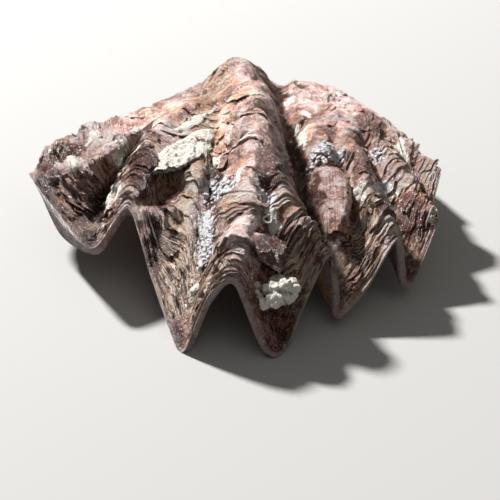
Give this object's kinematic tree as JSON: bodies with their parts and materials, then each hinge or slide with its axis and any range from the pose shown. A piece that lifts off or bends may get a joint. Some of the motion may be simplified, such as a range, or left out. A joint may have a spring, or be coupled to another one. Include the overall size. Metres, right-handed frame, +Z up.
{
  "type": "fossil oyster valve",
  "caption": "Single fossil oyster valve with deep zigzag folds, stacked growth ledges and a hollow underside, lying convex side up.",
  "frame": {"origin": "middle of the bounding box, on the plane that the valve rests on", "axes": "+Z up through the convex side, +Y from the front margin to the umbo at the back, +X to the right seen from the front"},
  "size_m": [0.0436, 0.0506, 0.0149],
  "materials": {
    "fossil_shell": "weathered calcite, reddish brown with pale worn crests, orange-brown ledge edges and cream sediment"
  },
  "bodies": {
    "root": {"valve": "fossil_shell"}
  },
  "joints": []
}
